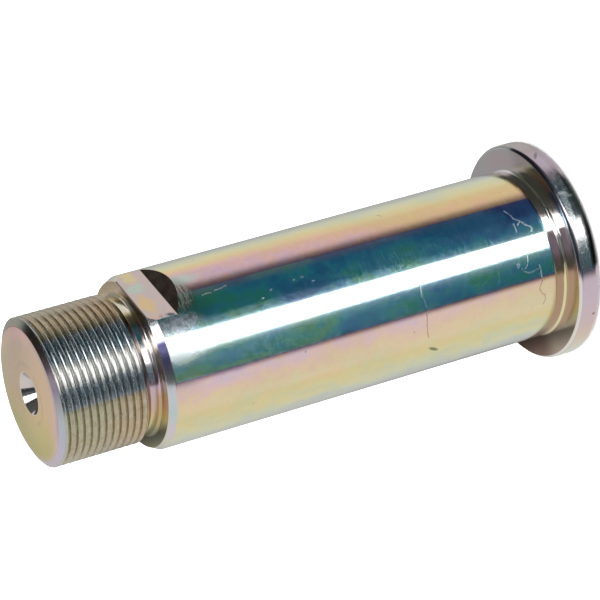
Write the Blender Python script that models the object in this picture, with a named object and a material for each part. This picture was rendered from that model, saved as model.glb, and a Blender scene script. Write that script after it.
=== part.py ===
"""A stub axle turned from one bar of steel: a headed pin whose plain body carries
the load, with a threaded end for a nut and one milled flat beside the thread.

The axle stands on the outer face of its head. The origin is the centre of that
face and +Z runs along the turning axis to the threaded end. The flat looks
along -Y. Lengths are in metres.
"""

import math

import bmesh
import bpy
from mathutils import Vector

MM = 0.001

# Head
HEAD_DIAMETER = 45.0 * MM
HEAD_THICKNESS = 5.0 * MM
HEAD_BACK_RADIUS = 1.3 * MM  # rounding of the outer face's edge
HEAD_FRONT_CHAMFER = 0.55 * MM

# Relief groove where the body meets the seat under the head
RELIEF_WIDTH = 2.6 * MM
RELIEF_DEPTH = 0.4 * MM
RELIEF_FILLET = 0.6 * MM

# Plain body
BODY_DIAMETER = 35.0 * MM
SHOULDER_Z = 94.0 * MM
LEAD_LENGTH = 1.6 * MM  # lead-in chamfer at the shoulder, along the axis
LEAD_DEPTH = 0.8 * MM  # and across it

# Milled flat at the shoulder
FLAT_DEPTH = 2.1 * MM
FLAT_LENGTH = 6.0 * MM
FLAT_WALL_RUN = 2.6 * MM  # the wall at its end slopes back this far as it rises to the body

# Thread undercut and thread, drawn at the diameter of its crests
UNDERCUT_DIAMETER = 27.7 * MM
UNDERCUT_FLOOR = 2.35 * MM
UNDERCUT_FILLET = 0.7 * MM
THREAD_DIAMETER = 29.9 * MM
THREAD_LENGTH = 21.5 * MM  # from the shoulder to the end face, with the undercut
END_CHAMFER_LENGTH = 0.8 * MM  # along the axis
END_CHAMFER_DEPTH = 1.6 * MM  # and across it

# Centre hole in the end face
CENTRE_CONE_DIAMETER = 8.5 * MM
CENTRE_CONE_ANGLE = math.radians(60)
CENTRE_DRILL_DIAMETER = 4.0 * MM
CENTRE_DRILL_LENGTH = 5.0 * MM
CENTRE_TIP_ANGLE = math.radians(120)

TOTAL_LENGTH = SHOULDER_Z + THREAD_LENGTH

TURNING_STEPS = 96
FILLET_STEPS = 4


def clear_scene():
    for item in list(bpy.data.objects):
        bpy.data.objects.remove(item, do_unlink=True)


def hollow_fillet(corner_r, corner_z, radius):
    """Points of a hollow fillet in the corner between a face below and a wall
    inside it, from the face to the wall."""
    points = []
    for step in range(FILLET_STEPS + 1):
        angle = math.radians(270 - 90 * step / FILLET_STEPS)
        points.append(
            (
                corner_r + radius + radius * math.cos(angle),
                corner_z + radius + radius * math.sin(angle),
            )
        )
    return points


def rounded_edge(outer_r, radius):
    """Points of the rounded edge between the face at height 0 and a wall at
    outer_r, from the face to the wall."""
    points = []
    for step in range(FILLET_STEPS + 1):
        angle = math.radians(-90 + 90 * step / FILLET_STEPS)
        points.append(
            (
                outer_r - radius + radius * math.cos(angle),
                radius + radius * math.sin(angle),
            )
        )
    return points


def turned_profile():
    """Half of the axle's section as (radius, height), from the middle of the
    head's outer face round to the bottom of the centre hole."""
    head_r = HEAD_DIAMETER / 2
    body_r = BODY_DIAMETER / 2
    relief_r = body_r - RELIEF_DEPTH
    under_r = UNDERCUT_DIAMETER / 2
    thread_r = THREAD_DIAMETER / 2
    cone_r = CENTRE_CONE_DIAMETER / 2
    drill_r = CENTRE_DRILL_DIAMETER / 2

    profile = [(0.0, 0.0)]
    profile += rounded_edge(head_r, HEAD_BACK_RADIUS)
    profile += [
        (head_r, HEAD_THICKNESS - HEAD_FRONT_CHAMFER),
        (head_r - HEAD_FRONT_CHAMFER, HEAD_THICKNESS),
    ]
    profile += hollow_fillet(relief_r, HEAD_THICKNESS, RELIEF_FILLET)
    relief_end = HEAD_THICKNESS + RELIEF_WIDTH
    profile += [
        (relief_r, relief_end - RELIEF_DEPTH),
        (body_r, relief_end),
        (body_r, SHOULDER_Z - LEAD_LENGTH),
        (body_r - LEAD_DEPTH, SHOULDER_Z),
    ]

    profile += hollow_fillet(under_r, SHOULDER_Z, UNDERCUT_FILLET)
    under_end = SHOULDER_Z + UNDERCUT_FLOOR
    profile += [
        (under_r, under_end),
        (thread_r, under_end + (thread_r - under_r)),
        (thread_r, TOTAL_LENGTH - END_CHAMFER_LENGTH),
        (thread_r - END_CHAMFER_DEPTH, TOTAL_LENGTH),
        (cone_r, TOTAL_LENGTH),
    ]

    cone_depth = (cone_r - drill_r) / math.tan(CENTRE_CONE_ANGLE / 2)
    drill_end = TOTAL_LENGTH - cone_depth - CENTRE_DRILL_LENGTH
    profile += [
        (drill_r, TOTAL_LENGTH - cone_depth),
        (drill_r, drill_end),
        (0.0, drill_end - drill_r / math.tan(CENTRE_TIP_ANGLE / 2)),
    ]
    return profile


def turned_blank(name):
    """The profile spun a full turn about Z, as one closed mesh."""
    shape = bmesh.new()
    points = [shape.verts.new((radius, 0.0, height)) for radius, height in turned_profile()]
    edges = [shape.edges.new(pair) for pair in zip(points, points[1:])]
    bmesh.ops.spin(
        shape,
        geom=points + edges,
        cent=(0.0, 0.0, 0.0),
        axis=(0.0, 0.0, 1.0),
        angle=math.tau,
        steps=TURNING_STEPS,
        use_merge=True,
    )
    bmesh.ops.remove_doubles(shape, verts=shape.verts[:], dist=1e-6)
    bmesh.ops.recalc_face_normals(shape, faces=shape.faces[:])
    mesh = bpy.data.meshes.new(name)
    shape.to_mesh(mesh)
    shape.free()
    blank = bpy.data.objects.new(name, mesh)
    bpy.context.scene.collection.objects.link(blank)
    return blank


def flat_cutter(name):
    """What the mill removes for the flat: a long prism across the axle, open
    towards the thread, whose end wall leans back towards the head."""
    floor_y = -(BODY_DIAMETER / 2 - FLAT_DEPTH)
    outer_y = floor_y - 3 * FLAT_DEPTH
    start_z = SHOULDER_Z - FLAT_LENGTH
    lean = FLAT_WALL_RUN / FLAT_DEPTH
    section = [
        (floor_y, start_z),
        (floor_y, SHOULDER_Z + FLAT_LENGTH),
        (outer_y, SHOULDER_Z + FLAT_LENGTH),
        (outer_y, start_z - lean * (floor_y - outer_y)),
    ]
    half_width = 0.7 * BODY_DIAMETER

    shape = bmesh.new()
    outline = [shape.verts.new((-half_width, y, z)) for y, z in section]
    side = shape.faces.new(outline)
    swept = bmesh.ops.extrude_face_region(shape, geom=[side])
    moved = [item for item in swept["geom"] if isinstance(item, bmesh.types.BMVert)]
    bmesh.ops.translate(shape, verts=moved, vec=Vector((2 * half_width, 0.0, 0.0)))
    bmesh.ops.recalc_face_normals(shape, faces=shape.faces[:])
    mesh = bpy.data.meshes.new(name)
    shape.to_mesh(mesh)
    shape.free()
    cutter = bpy.data.objects.new(name, mesh)
    bpy.context.scene.collection.objects.link(cutter)
    cutter.hide_render = True
    cutter.display_type = "WIRE"
    return cutter


def plated_steel():
    """Turned steel with a bright yellow zinc finish."""
    material = bpy.data.materials.new("plated_steel")
    material.use_nodes = True
    shader = material.node_tree.nodes["Principled BSDF"]
    shader.inputs["Base Color"].default_value = (0.66, 0.60, 0.44, 1.0)
    shader.inputs["Metallic"].default_value = 1.0
    shader.inputs["Roughness"].default_value = 0.2
    material.diffuse_color = (0.66, 0.60, 0.44, 1.0)
    return material


def build():
    clear_scene()
    axle = turned_blank("stub_axle")
    axle.data.shade_smooth()
    axle.data.set_sharp_from_angle(angle=math.radians(25))
    axle.data.materials.append(plated_steel())

    cut = axle.modifiers.new("milled_flat", "BOOLEAN")
    cut.operation = "DIFFERENCE"
    cut.solver = "EXACT"
    cut.object = flat_cutter("flat_cutter")


build()
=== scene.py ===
"""The looks of a stub axle: its fine turned surface with a real thread, its
iridescent yellow plating, and a plain studio around it.

Angles called t run round the turning axis from the side that faces the camera,
in degrees, growing towards the milled flat. Lengths are in millimetres until a
mesh is made.
"""

import math

import bmesh
import bpy
from mathutils import Matrix, Vector


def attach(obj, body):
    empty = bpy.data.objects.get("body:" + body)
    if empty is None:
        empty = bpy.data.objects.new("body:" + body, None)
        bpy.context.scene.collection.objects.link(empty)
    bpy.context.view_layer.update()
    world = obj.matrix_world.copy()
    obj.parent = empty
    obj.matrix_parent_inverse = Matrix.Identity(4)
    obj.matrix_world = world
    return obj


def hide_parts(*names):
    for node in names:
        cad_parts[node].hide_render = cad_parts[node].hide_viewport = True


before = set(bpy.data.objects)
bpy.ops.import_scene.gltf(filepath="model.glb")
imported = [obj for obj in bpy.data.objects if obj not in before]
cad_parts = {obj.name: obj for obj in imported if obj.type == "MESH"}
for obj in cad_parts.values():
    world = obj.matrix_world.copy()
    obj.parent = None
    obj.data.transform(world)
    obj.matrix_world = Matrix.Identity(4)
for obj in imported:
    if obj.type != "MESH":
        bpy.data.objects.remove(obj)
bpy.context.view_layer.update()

MM = 0.001

# The turned shape, as in the frame
HEAD_R, HEAD_THICK = 22.5, 5.0
BODY_R, SHOULDER_Z, END_Z = 17.5, 94.0, 115.5
RELIEF_R, RELIEF_Z = 17.1, 7.6
LEAD_Z, LEAD_R = 92.4, 16.7
UNDER_R, UNDER_Z = 13.85, 96.35
CREST_R, CHAMFER_RUN, CHAMFER_DROP = 14.95, 0.8, 1.6
CONE_R, DRILL_R = 4.25, 2.0
FLAT_Y, FLAT_Z, FLAT_RUN = -15.4, 88.0, 2.6 / 2.1

# Thread M30 x 1.5, right-handed, with its crests ground wide
PITCH, ROOT_R, ROOT_HALF = 1.5, 14.477, 0.06
THREAD_PHASE = 0.17

FRONT = -141.0  # azimuth of t = 0, in degrees
STEPS = 288


# ---------------------------------------------------------------- shape


def rounded(corners, turn=12.0, support=0.07):
    """A polyline of (radius, height, rounding) with each rounded corner drawn as
    an arc, and a point just beyond both its ends to keep the faces beside it flat."""
    out = []
    for i, (x, y, size) in enumerate(corners):
        here = Vector((x, y))
        if size <= 0 or i in (0, len(corners) - 1):
            out.append((x, y))
            continue
        back = Vector(corners[i - 1][:2]) - here
        ahead = Vector(corners[i + 1][:2]) - here
        far_back, far_ahead = back.length, ahead.length
        back.normalize()
        ahead.normalize()
        inner = back.angle(ahead)
        run = size / math.tan(inner / 2)
        middle = here + (back + ahead).normalized() * (size / math.sin(inner / 2))
        first, last = here + back * run, here + ahead * run
        if far_back > run + 3 * support:
            out.append(tuple(first + back * support))
        a0 = math.atan2(first.y - middle.y, first.x - middle.x)
        a1 = math.atan2(last.y - middle.y, last.x - middle.x)
        sweep = (a1 - a0 + math.pi) % math.tau - math.pi
        count = max(2, math.ceil(abs(math.degrees(sweep)) / turn))
        for k in range(count + 1):
            a = a0 + sweep * k / count
            out.append((middle.x + size * math.cos(a), middle.y + size * math.sin(a)))
        if far_ahead > run + 3 * support:
            out.append(tuple(last + ahead * support))
    return out


def axle_profile():
    cone_z = END_Z - (CONE_R - DRILL_R) / math.tan(math.radians(30))
    drill_z = cone_z - 5.0
    return rounded(
        [
            (0, 0, 0),
            (HEAD_R, 0, 1.3),
            (HEAD_R, HEAD_THICK - 0.55, 0.8),
            (HEAD_R - 0.55, HEAD_THICK, 0.12),
            (RELIEF_R, HEAD_THICK, 0.6),
            (RELIEF_R, RELIEF_Z - 0.4, 0.15),
            (BODY_R, RELIEF_Z, 0.15),
            (BODY_R, LEAD_Z, 0.35),
            (LEAD_R, SHOULDER_Z, 0.15),
            (UNDER_R, SHOULDER_Z, 0.7),
            (UNDER_R, UNDER_Z, 0.3),
            (CREST_R, UNDER_Z + CREST_R - UNDER_R, 0.1),
            (CREST_R, END_Z - CHAMFER_RUN, 0.1),
            (CREST_R - CHAMFER_DROP, END_Z, 0.25),
            (CONE_R, END_Z, 0.1),
            (DRILL_R, cone_z, 0.1),
            (DRILL_R, drill_z, 0),
            (0, drill_z - DRILL_R / math.tan(math.radians(60)), 0),
        ]
    )


def mesh_object(name, shape):
    bmesh.ops.recalc_face_normals(shape, faces=shape.faces[:])
    mesh = bpy.data.meshes.new(name)
    shape.to_mesh(mesh)
    shape.free()
    made = bpy.data.objects.new(name, mesh)
    bpy.context.scene.collection.objects.link(made)
    return made


def turned(name, profile):
    """The profile turned about Z, closed by a fan of faces where it meets the axis."""
    shape = bmesh.new()
    rings = []
    for r, z in profile:
        if r < 1e-6:
            rings.append([shape.verts.new((0, 0, z * MM))])
            continue
        rings.append(
            [
                shape.verts.new(
                    (
                        r * MM * math.cos(math.tau * k / STEPS),
                        r * MM * math.sin(math.tau * k / STEPS),
                        z * MM,
                    )
                )
                for k in range(STEPS)
            ]
        )
    for low, high in zip(rings, rings[1:]):
        for k in range(STEPS):
            n = (k + 1) % STEPS
            if len(low) == 1:
                shape.faces.new((low[0], high[n], high[k]))
            elif len(high) == 1:
                shape.faces.new((low[k], low[n], high[0]))
            else:
                shape.faces.new((low[k], low[n], high[n], high[k]))
    return mesh_object(name, shape)


def groove(name):
    """The swept V with a rounded root that the thread tool takes out of the blank.
    It starts in the air over the undercut and ends in the air past the end face."""
    slope = math.tan(math.radians(30))
    ease = 0.05
    lip = CREST_R - 0.09  # above here the groove opens wider, for eased crests
    lip_half = ROOT_HALF + (lip - ROOT_R) * slope
    outer = 15.05
    outer_half = lip_half + (outer - lip) / math.tan(math.radians(28))
    half = [
        (ROOT_R, ROOT_HALF * 0.4),
        (ROOT_R + 0.016, ROOT_HALF * 0.9),
        (ROOT_R + ease, ROOT_HALF + ease * slope),
        (lip, lip_half),
        (outer, outer_half),
    ]
    section = [(r, -z) for r, z in reversed(half)] + half
    start, stop, per_turn = 95.2, 116.5, 108
    count = round((stop - start) / PITCH * per_turn)
    shape = bmesh.new()
    rows = []
    for k in range(count + 1):
        rise = PITCH * k / per_turn
        a = math.tau * (k / per_turn + THREAD_PHASE) + 0.01
        rows.append(
            [
                shape.verts.new(
                    (
                        r * MM * math.cos(a),
                        r * MM * math.sin(a),
                        (start + rise + z) * MM,
                    )
                )
                for r, z in section
            ]
        )
    for one, two in zip(rows, rows[1:]):
        for k in range(len(section)):
            n = (k + 1) % len(section)
            shape.faces.new((one[k], one[n], two[n], two[k]))
    shape.faces.new(rows[0])
    shape.faces.new(rows[-1])
    return mesh_object(name, shape)


def flat_cutter(name):
    """What the mill removes for the flat, with the end wall leaning back to the head."""
    outer = FLAT_Y - 6.3
    section = [
        (FLAT_Y, FLAT_Z),
        (FLAT_Y, SHOULDER_Z + 3),
        (outer, SHOULDER_Z + 3),
        (outer, FLAT_Z - FLAT_RUN * (FLAT_Y - outer)),
    ]
    shape = bmesh.new()
    sides = [
        [shape.verts.new((x * MM, y * MM, z * MM)) for y, z in section]
        for x in (-24, 24)
    ]
    shape.faces.new(sides[0])
    shape.faces.new(sides[1])
    for k in range(4):
        n = (k + 1) % 4
        shape.faces.new((sides[0][k], sides[0][n], sides[1][n], sides[1][k]))
    return mesh_object(name, shape)


def cut(blank, *cutters):
    for cutter in cutters:
        step = blank.modifiers.new(cutter.name, "BOOLEAN")
        step.operation = "DIFFERENCE"
        step.solver = "EXACT"
        step.object = cutter
    bpy.context.view_layer.update()
    done = bpy.data.meshes.new_from_object(
        blank.evaluated_get(bpy.context.evaluated_depsgraph_get())
    )
    blank.modifiers.clear()
    old, blank.data = blank.data, done
    bpy.data.meshes.remove(old)
    for cutter in cutters:
        mesh = cutter.data
        bpy.data.objects.remove(cutter)
        bpy.data.meshes.remove(mesh)


def tidy(piece):
    """Welds stray points, splits the many-sided faces and marks the sharp edges."""
    shape = bmesh.new()
    shape.from_mesh(piece.data)
    bmesh.ops.remove_doubles(shape, verts=shape.verts[:], dist=2e-7)
    bmesh.ops.dissolve_degenerate(shape, edges=shape.edges[:], dist=2e-7)
    bmesh.ops.triangulate(
        shape, faces=[f for f in shape.faces if len(f.verts) > 4], ngon_method="BEAUTY"
    )
    shape.to_mesh(piece.data)
    shape.free()
    piece.data.shade_smooth()
    piece.data.set_sharp_from_angle(angle=math.radians(20))


axle = turned("stub_axle_turned", axle_profile())
cut(axle, flat_cutter("flat_cutter"), groove("thread_groove"))
tidy(axle)


# ---------------------------------------------------------------- shader helpers


class Graph:
    """Short names for the nodes of one tree. Sockets and plain numbers mix freely."""

    def __init__(self, tree):
        self.tree = tree

    def node(self, kind, **settings):
        made = self.tree.nodes.new(kind)
        for key, value in settings.items():
            setattr(made, key, value)
        return made

    def put(self, socket, value):
        if isinstance(value, bpy.types.NodeSocket):
            self.tree.links.new(value, socket)
        elif socket.type == "RGBA" and not isinstance(value, (int, float)):
            socket.default_value = (*value[:3], 1.0)
        else:
            socket.default_value = value

    def math(self, operation, *values):
        made = self.node("ShaderNodeMath", operation=operation)
        for socket, value in zip(made.inputs, values):
            self.put(socket, value)
        return made.outputs[0]

    def add(self, a, b):
        return self.math("ADD", a, b)

    def sub(self, a, b):
        return self.math("SUBTRACT", a, b)

    def mul(self, a, b):
        return self.math("MULTIPLY", a, b)

    def smooth(self, value, low, high, to_low=0.0, to_high=1.0):
        made = self.node("ShaderNodeMapRange", interpolation_type="SMOOTHSTEP", clamp=False)
        for name, item in (
            ("Value", value),
            ("From Min", low),
            ("From Max", high),
            ("To Min", to_low),
            ("To Max", to_high),
        ):
            self.put(made.inputs[name], item)
        return made.outputs["Result"]

    def between(self, value, low, high, soft):
        """1 from low to high and 0 outside, with edges as soft as soft."""
        return self.mul(
            self.smooth(value, self.sub(low, soft / 2), self.add(low, soft / 2)),
            self.smooth(value, self.sub(high, soft / 2), self.add(high, soft / 2), 1.0, 0.0),
        )

    def lerp(self, share, a, b):
        return self.add(a, self.mul(share, self.sub(b, a)))

    def mix(self, share, a, b, blend="MIX"):
        made = self.node("ShaderNodeMix", data_type="RGBA", blend_type=blend)
        self.put(made.inputs[0], share)
        self.put(made.inputs[6], a)
        self.put(made.inputs[7], b)
        return made.outputs[2]

    def ramp(self, value, stops, interpolation="LINEAR"):
        made = self.node("ShaderNodeValToRGB")
        band = made.color_ramp
        band.interpolation = interpolation
        while len(band.elements) < len(stops):
            band.elements.new(0.5)
        for item, (place, colour) in zip(band.elements, stops):
            item.position = place
        for item, (place, colour) in zip(band.elements, stops):
            item.color = (*colour, 1.0)
        self.put(made.inputs[0], value)
        return made.outputs[0]

    def curve(self, value, *stops):
        """A number that follows (value, result) pairs, smoothly from one to the next."""
        low, high = stops[0][0], stops[-1][0]
        made = self.node("ShaderNodeFloatCurve")
        line = made.mapping.curves[0]
        while len(line.points) < len(stops):
            line.points.new(0.5, 0.5)
        for point, (at, out) in zip(line.points, stops):
            point.location = ((at - low) / (high - low), out)
            point.handle_type = "AUTO_CLAMPED"
        made.mapping.extend = "HORIZONTAL"
        made.mapping.update()
        share = self.math("DIVIDE", self.sub(value, low), high - low)
        self.put(made.inputs["Value"], share)
        return made.outputs[0]

    def noise(self, vector, scale, detail=2.0, rough=0.5, distortion=0.0):
        made = self.node("ShaderNodeTexNoise", noise_dimensions="3D")
        self.put(made.inputs["Vector"], vector)
        self.put(made.inputs["Scale"], scale)
        self.put(made.inputs["Detail"], detail)
        self.put(made.inputs["Roughness"], rough)
        self.put(made.inputs["Distortion"], distortion)
        return made.outputs["Fac"]

    def vector(self, x, y, z):
        made = self.node("ShaderNodeCombineXYZ")
        for socket, value in zip(made.inputs, (x, y, z)):
            self.put(socket, value)
        return made.outputs[0]

    def vmath(self, operation, *values):
        made = self.node("ShaderNodeVectorMath", operation=operation)
        for socket, value in zip(made.inputs, values):
            self.put(socket, value)
        return made.outputs["Value" if operation in ("LENGTH", "DOT_PRODUCT") else 0]

    def patch(self, u, v, u0, v0, ru, rv, soft=0.5):
        """1 inside an oval about (u0, v0), fading to 0 across its edge."""
        du = self.math("DIVIDE", self.sub(u, u0), ru)
        dv = self.math("DIVIDE", self.sub(v, v0), rv)
        away = self.math("SQRT", self.add(self.mul(du, du), self.mul(dv, dv)))
        return self.smooth(away, 1 - soft, 1 + soft, 1.0, 0.0)

    def strokes(self, place, lines):
        """Distance to the nearest of some scratches, each a run of (u, v) points."""
        nearest = 99.0
        for points in lines:
            for (u0, v0), (u1, v1) in zip(points, points[1:]):
                du, dv = u1 - u0, v1 - v0
                size = du * du + dv * dv
                out = self.vmath("SUBTRACT", place, (u0, v0, 0.0))
                along = self.vmath("DOT_PRODUCT", out, (du / size, dv / size, 0.0))
                along = self.math("MINIMUM", self.math("MAXIMUM", along, 0.0), 1.0)
                foot = self.node("ShaderNodeVectorMath", operation="SCALE")
                foot.inputs[0].default_value = (du, dv, 0.0)
                self.put(foot.inputs["Scale"], along)
                gap = self.vmath("LENGTH", self.vmath("SUBTRACT", out, foot.outputs[0]))
                nearest = gap if nearest == 99.0 else self.math("MINIMUM", nearest, gap)
        return nearest


def srgb(r, g, b, gain=1.0):
    """Linear light for a colour as it looks on a screen, 0 to 255."""

    def one(c):
        c /= 255
        return (c / 12.92 if c <= 0.04045 else ((c + 0.055) / 1.055) ** 2.4) * gain

    return one(r), one(g), one(b)


# ---------------------------------------------------------------- plated steel

# The interference colours of the plating, as its film thickens
FILM = [
    (0.00, (0.50, 0.53, 0.49)),  # grey green
    (0.12, (0.58, 0.60, 0.41)),  # pale green yellow
    (0.24, (0.67, 0.60, 0.32)),  # straw
    (0.36, (0.72, 0.55, 0.29)),  # gold
    (0.46, (0.72, 0.49, 0.34)),  # orange pink
    (0.54, (0.69, 0.46, 0.44)),  # rose
    (0.62, (0.60, 0.44, 0.55)),  # lilac
    (0.70, (0.46, 0.27, 0.54)),  # violet
    (0.78, (0.38, 0.56, 0.86)),  # blue
    (0.86, (0.46, 0.76, 0.84)),  # teal
    (0.93, (0.50, 0.80, 0.56)),  # green
    (1.00, (0.60, 0.76, 0.46)),  # leaf green
]


class Plating(Graph):
    """The nodes of one part of the plated surface, with the coordinates they share."""

    def __init__(self, name):
        self.material = bpy.data.materials.new(name)
        self.material.use_nodes = True
        super().__init__(self.material.node_tree)
        self.shader = self.tree.nodes["Principled BSDF"]
        scaled = self.node("ShaderNodeVectorMath", operation="SCALE")
        self.put(scaled.inputs[0], self.node("ShaderNodeTexCoord").outputs["Object"])
        scaled.inputs["Scale"].default_value = 1000.0
        self.mm = scaled.outputs[0]
        parts = self.node("ShaderNodeSeparateXYZ")
        self.put(parts.inputs[0], self.mm)
        self.x, self.y, self.z = parts.outputs
        self.r = self.math("SQRT", self.add(self.mul(self.x, self.x), self.mul(self.y, self.y)))
        # turned so that t is 0 towards the front and jumps only at the back
        turn = math.radians(FRONT)
        front = self.add(self.mul(self.x, math.cos(turn)), self.mul(self.y, math.sin(turn)))
        side = self.sub(self.mul(self.y, math.cos(turn)), self.mul(self.x, math.sin(turn)))
        self.t = self.mul(self.math("ARCTAN2", side, front), 180 / math.pi)
        self.at_back = self.smooth(self.math("ABSOLUTE", self.t), 140.0, 170.0)

    def cloud(self, scale, drawn=0.5, shift=0.0, detail=3.0, rough=0.58):
        """Soft noise about 0, drawn out along the axle."""
        where = self.vector(self.add(self.x, shift), self.y, self.mul(self.z, drawn))
        return self.sub(self.noise(where, scale, detail, rough), 0.5)

    def film(self, thickness):
        return self.ramp(thickness, FILM)

    def around(self, *stops):
        """Colours in turn round the axle, by angle t."""
        return self.ramp(
            self.math("DIVIDE", self.add(self.t, 180.0), 360.0),
            [((at + 180) / 360, colour) for at, colour in stops],
        )

    def done(self, colour, rough, height):
        bump = self.node("ShaderNodeBump")
        bump.inputs["Strength"].default_value = 0.12
        bump.inputs["Distance"].default_value = 0.0001
        self.put(bump.inputs["Height"], height)
        self.shader.inputs["Metallic"].default_value = 1.0
        self.put(self.shader.inputs["Base Color"], colour)
        self.put(self.shader.inputs["Roughness"], rough)
        self.put(self.shader.inputs["Normal"], bump.outputs[0])
        return self.material


def body_plating():
    g = Plating("plated_body")
    x, y, z, r, t, mm = g.x, g.y, g.z, g.r, g.t, g.mm
    cloud, cloud_b, cloud_c = g.cloud(0.09, 0.45), g.cloud(0.17, 0.5, 40.0), g.cloud(0.33, 0.8, 90.0)
    zw = g.add(z, g.mul(cloud_b, 30.0))
    to_mid = g.smooth(zw, 18.0, 48.0)
    to_high = g.smooth(zw, 50.0, 80.0)

    # how thick the film is by turn, near the head, half way and near the shoulder
    tw = g.add(t, g.add(g.mul(cloud, 16.0), g.mul(cloud_c, 9.0)))
    pale = g.curve(
        tw, (-180, 0.10), (-140, 0.34), (-110, 0.14), (-86, 0.02), (-72, 0.06), (-60, 0.15),
        (-48, 0.25), (-38, 0.30), (-30, 0.38), (-22, 0.48), (-10, 0.54), (34, 0.46), (42, 0.38),
        (50, 0.33), (57, 0.25), (68, 0.12), (84, 0.02), (110, 0.12), (145, 0.42), (180, 0.10),
    )
    mid = g.curve(
        tw, (-180, 0.20), (-145, 0.10), (-115, 0.30), (-86, 0.03), (-72, 0.07), (-60, 0.18),
        (-48, 0.25), (-39, 0.34), (-31, 0.46), (-23, 0.55), (-10, 0.57), (34, 0.56), (44, 0.53),
        (50, 0.47), (56, 0.38), (61, 0.30), (68, 0.14), (84, 0.02), (115, 0.20), (150, 0.32), (180, 0.20),
    )
    pale = g.lerp(to_mid, pale, mid)
    high = g.curve(
        tw, (-180, 0.36), (-150, 0.18), (-110, 0.10), (-86, 0.02), (-74, 0.07), (-60, 0.20),
        (-46, 0.28), (-38, 0.34), (-31, 0.46), (-23, 0.56), (-10, 0.60), (36, 0.58), (45, 0.60),
        (52, 0.56), (57, 0.44), (62, 0.30), (70, 0.13), (84, 0.02), (115, 0.30), (150, 0.12), (180, 0.36),
    )
    pale = g.lerp(to_high, pale, high)
    pale = g.add(pale, g.add(g.mul(cloud_c, 0.24), g.mul(cloud_b, 0.20)))

    strip = g.curve(
        t, (-22, 0.84), (-14, 0.86), (-6, 0.88), (12, 0.86), (17, 0.83), (24, 0.76), (30, 0.72), (38, 0.69)
    )
    mid = g.curve(
        t, (-22, 0.89), (-16, 0.90), (-8, 0.91), (12, 0.86), (20, 0.84), (26, 0.82), (32, 0.79), (38, 0.75)
    )
    strip = g.lerp(to_mid, strip, mid)
    high = g.curve(
        t, (-22, 0.95), (-15, 0.94), (-6, 0.91), (12, 0.94), (18, 0.95), (26, 0.93), (32, 0.90), (38, 0.88)
    )
    strip = g.lerp(to_high, strip, high)
    strip = g.sub(strip, g.mul(g.between(zw, 46.0, 60.0, 12.0), 0.06))
    strip = g.add(strip, g.add(g.mul(cloud_b, 0.48), g.mul(cloud_c, 0.16)))
    strip = g.math("MAXIMUM", strip, 0.765)

    upper_edge = g.add(35.4, g.mul(z, 0.015))
    in_strip = g.mul(
        g.smooth(t, -20.1, -18.9),
        g.smooth(t, g.sub(upper_edge, 0.9), g.add(upper_edge, 0.9), 1.0, 0.0),
    )
    colour = g.film(g.lerp(in_strip, pale, strip))
    # painted highlight: the film turns paler and neutral in a band where the softbox highlight falls, so that
    # highlight reads white
    colour = g.mix(g.mul(g.between(t, -6.0, 10.5, 4.0), 0.55), colour, (0.66, 0.74, 0.78))
    colour = g.mix(g.mul(g.between(t, -44.0, -21.0, 8.0), 0.25), colour, (0.78, 0.70, 0.62))
    colour = g.mix(g.mul(g.between(t, 37.0, 54.0, 6.0), 0.65), colour, (0.94, 0.86, 0.80), "MULTIPLY")
    # painted shade: the strip is darkened to navy close to the head
    shade_by_head = g.mul(g.smooth(t, 11.0, 26.0), g.smooth(g.add(z, g.mul(cloud_c, 12.0)), 13.5, 18.5, 1.0, 0.0))
    colour = g.mix(g.mul(shade_by_head, in_strip), colour, (0.62, 0.44, 0.66), "MULTIPLY")
    # painted shade: the film is darkened just above the highlight's upper edge, from near the head to the shoulder
    shade_over_highlight = g.mul(g.mul(g.smooth(t, 10.0, 15.0), g.smooth(z, 28.0, 44.0, 1.0, 0.0)), in_strip)
    colour = g.mix(shade_over_highlight, colour, (0.46, 0.78, 0.86), "MULTIPLY")
    shade_over_highlight = g.mul(g.between(t, 10.5, 14.5, 3.0), g.mul(g.smooth(z, 44.0, 64.0), g.smooth(z, 83.0, 87.0, 1.0, 0.0)))
    colour = g.mix(g.mul(shade_over_highlight, 0.85), colour, (0.52, 0.58, 0.58), "MULTIPLY")
    colour = g.mix(g.mul(g.patch(t, z, 23.0, 86.0, 8.0, 4.6, 0.6), 0.45), colour, (0.46, 0.37, 0.28))
    fine = g.noise(mm, 0.75, 4.0, 0.65)
    colour = g.mix(g.smooth(fine, 0.40, 0.75, 0.0, 0.18), colour, g.mix(0.5, colour, (0.80, 0.76, 0.66)))
    colour = g.mix(g.smooth(cloud_b, -0.15, 0.10, 0.16, 0.0), colour, g.mix(0.5, colour, (0.28, 0.30, 0.26)))
    # painted highlight: two paler patches near the shoulder widen the highlight there; the surface is also made
    # rougher round the first
    colour = g.mix(g.mul(g.patch(t, z, -1.0, 90.0, 9.0, 5.5, 0.6), 0.7), colour, (0.70, 0.72, 0.74))
    colour = g.mix(g.mul(g.patch(t, z, 15.0, 91.0, 7.0, 5.5, 0.5), 0.7), colour, (0.80, 0.82, 0.86))
    colour = g.mix(g.mul(g.patch(t, z, 48.0, 84.5, 5.0, 4.0, 0.6), 0.75), colour, (0.46, 0.56, 0.50))

    rough = g.add(0.06, g.mul(g.smooth(fine, 0.3, 0.8), 0.05))
    rough = g.add(rough, g.mul(g.smooth(z, 84.0, 90.0), g.smooth(cloud_c, -0.2, 0.2, 0.03, 0.14)))
    rough = g.add(rough, g.mul(g.patch(t, z, -3.0, 90.0, 7.0, 5.5, 0.6), 0.16))

    # fine rings left by turning and polishing
    rings = g.noise(g.vector(g.mul(x, 0.01), g.mul(y, 0.01), z), 9.0, 4.0, 0.7)
    height = g.mul(rings, 0.8)
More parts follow.
